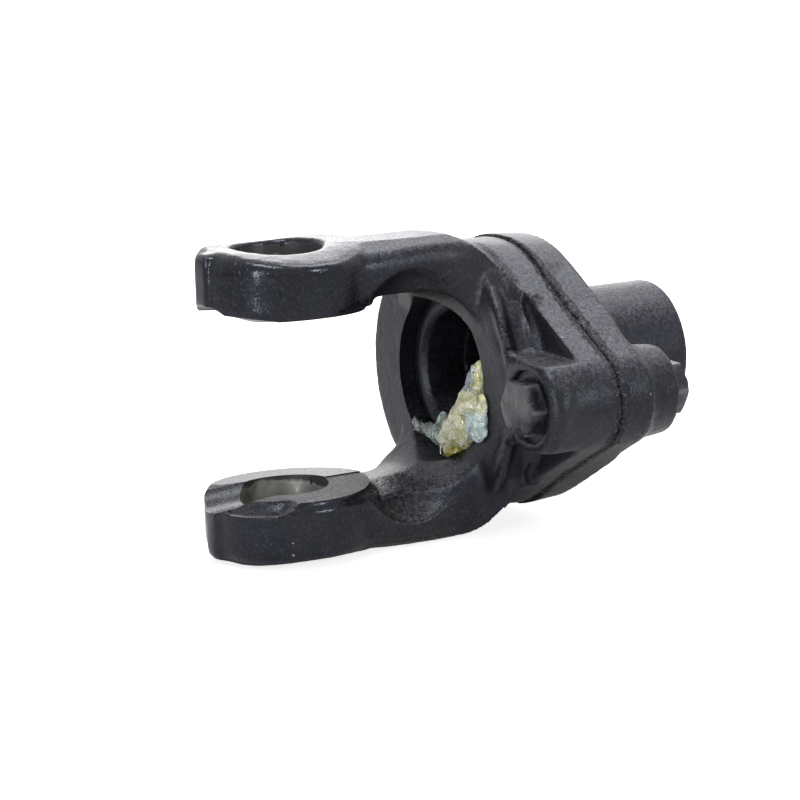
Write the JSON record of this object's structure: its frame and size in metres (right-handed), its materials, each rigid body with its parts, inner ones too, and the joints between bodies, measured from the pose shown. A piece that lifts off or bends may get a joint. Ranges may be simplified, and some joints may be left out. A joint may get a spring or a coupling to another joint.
{
  "type": "shear bolt yoke",
  "caption": "Forged yoke with two bored ears and a flange, bolted by a shear bolt to the flange of a splined hub whose journal turns in the yoke's ring.",
  "frame": {"origin": "centre of the cross, midway between the two cross bores", "axes": "+X towards the shear bolt's lobe, +Y along the shaft from the fork to the splined hub, +Z along the cross bores"},
  "size_m": [0.1236, 0.1778, 0.105],
  "materials": {
    "forging": "semi-gloss black paint over forging grain",
    "bolt": "satin black",
    "spring_steel": "bright",
    "grease": "wet"
  },
  "bodies": {
    "root": {"fork_yoke": "forging", "splined_hub": "forging", "retaining_ring": "spring_steel", "shear_bolt": "bolt", "lock_nut": "bolt", "grease_smear": "grease"}
  },
  "joints": []
}
